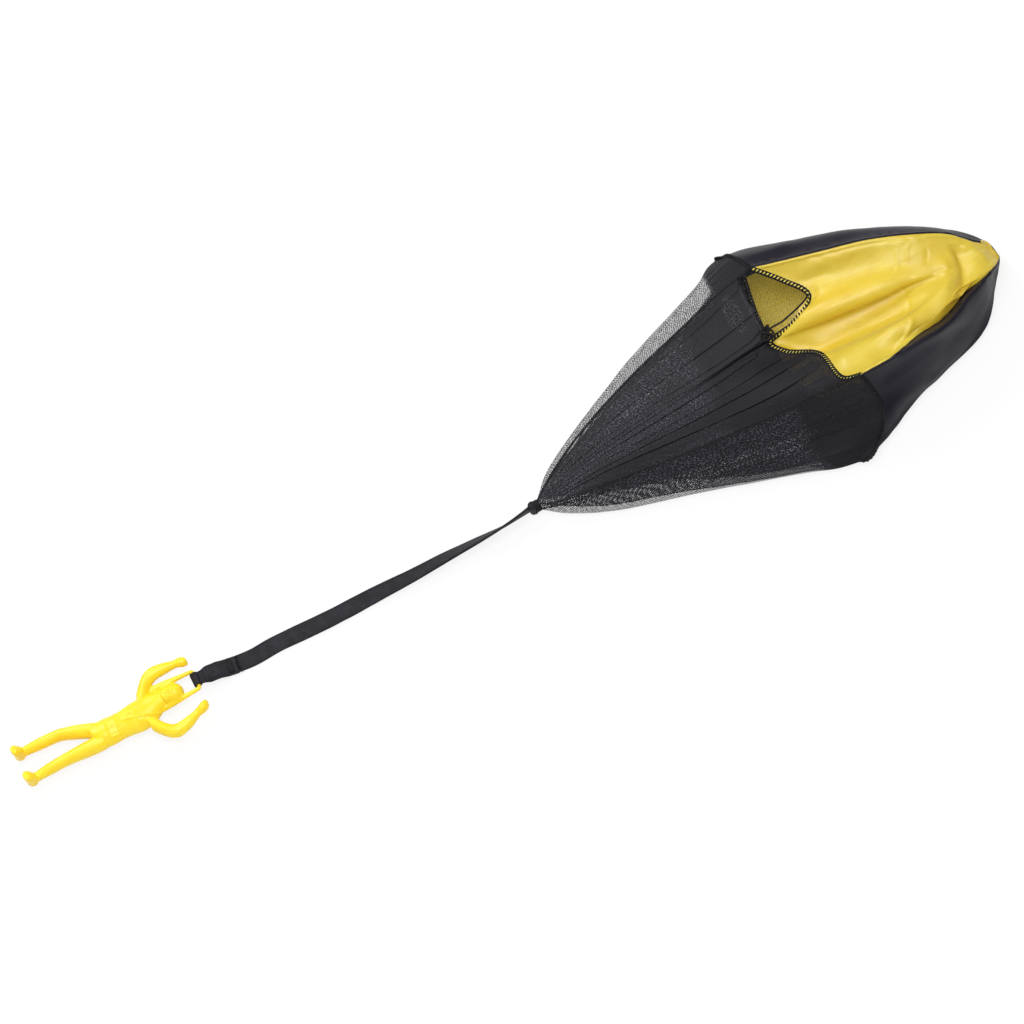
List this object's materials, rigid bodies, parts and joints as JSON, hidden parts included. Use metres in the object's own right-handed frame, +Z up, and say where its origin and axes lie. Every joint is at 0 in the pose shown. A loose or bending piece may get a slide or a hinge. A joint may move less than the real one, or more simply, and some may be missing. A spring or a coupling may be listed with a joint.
{
  "type": "toy parachute",
  "caption": "Hand-thrown toy parachute: satin canopy gores sewn to net panels, a ribbon strap and a moulded figure that swings on the strap's loop.",
  "frame": {"origin": "middle of the toy on the table that it lies on", "axes": "+X along the toy from the figure's feet to the canopy's crown, +Z up from the table"},
  "size_m": [0.4746, 0.112, 0.0354],
  "materials": {
    "yellow_satin": "polyester satin, golden yellow, soft sheen",
    "black_satin": "polyester satin, black, soft sheen",
    "black_net": "fine nylon net, black, see-through",
    "thread": "overlock thread, black",
    "strap_ribbon": "woven polyester ribbon, black, matt",
    "yellow_plastic": "moulded polyethylene, glossy yellow"
  },
  "bodies": {
    "canopy": {"top_gore": "yellow_satin", "bottom_gore": "yellow_satin", "near_gore": "black_satin", "far_gore": "black_satin", "top_net": "black_net", "bottom_net": "black_net", "near_net": "black_net", "far_net": "black_net", "top_hem": "thread", "bottom_hem": "thread", "near_hem": "thread", "far_hem": "thread", "near_top_seam": "thread", "far_top_seam": "thread", "far_bottom_seam": "thread", "near_bottom_seam": "thread", "gathered_net_ends": "black_net", "gather_stitches": "thread"},
    "strap": {"strap": "strap_ribbon", "strap_bar_tack": "thread"},
    "figure": {"figure": "yellow_plastic"}
  },
  "joints": [
    {"name": "strap_swing", "type": "hinge", "parent": "canopy", "child": "strap", "pos_m": [0.0102, -0.0025, 0.0046], "axis": [0, 0, 1], "range_deg": [-75, 75]},
    {"name": "figure_swing", "type": "hinge", "parent": "strap", "child": "figure", "pos_m": [-0.1524, -0.0018, 0.0052], "axis": [0, 1, 0], "range_deg": [-100, 100]}
  ]
}
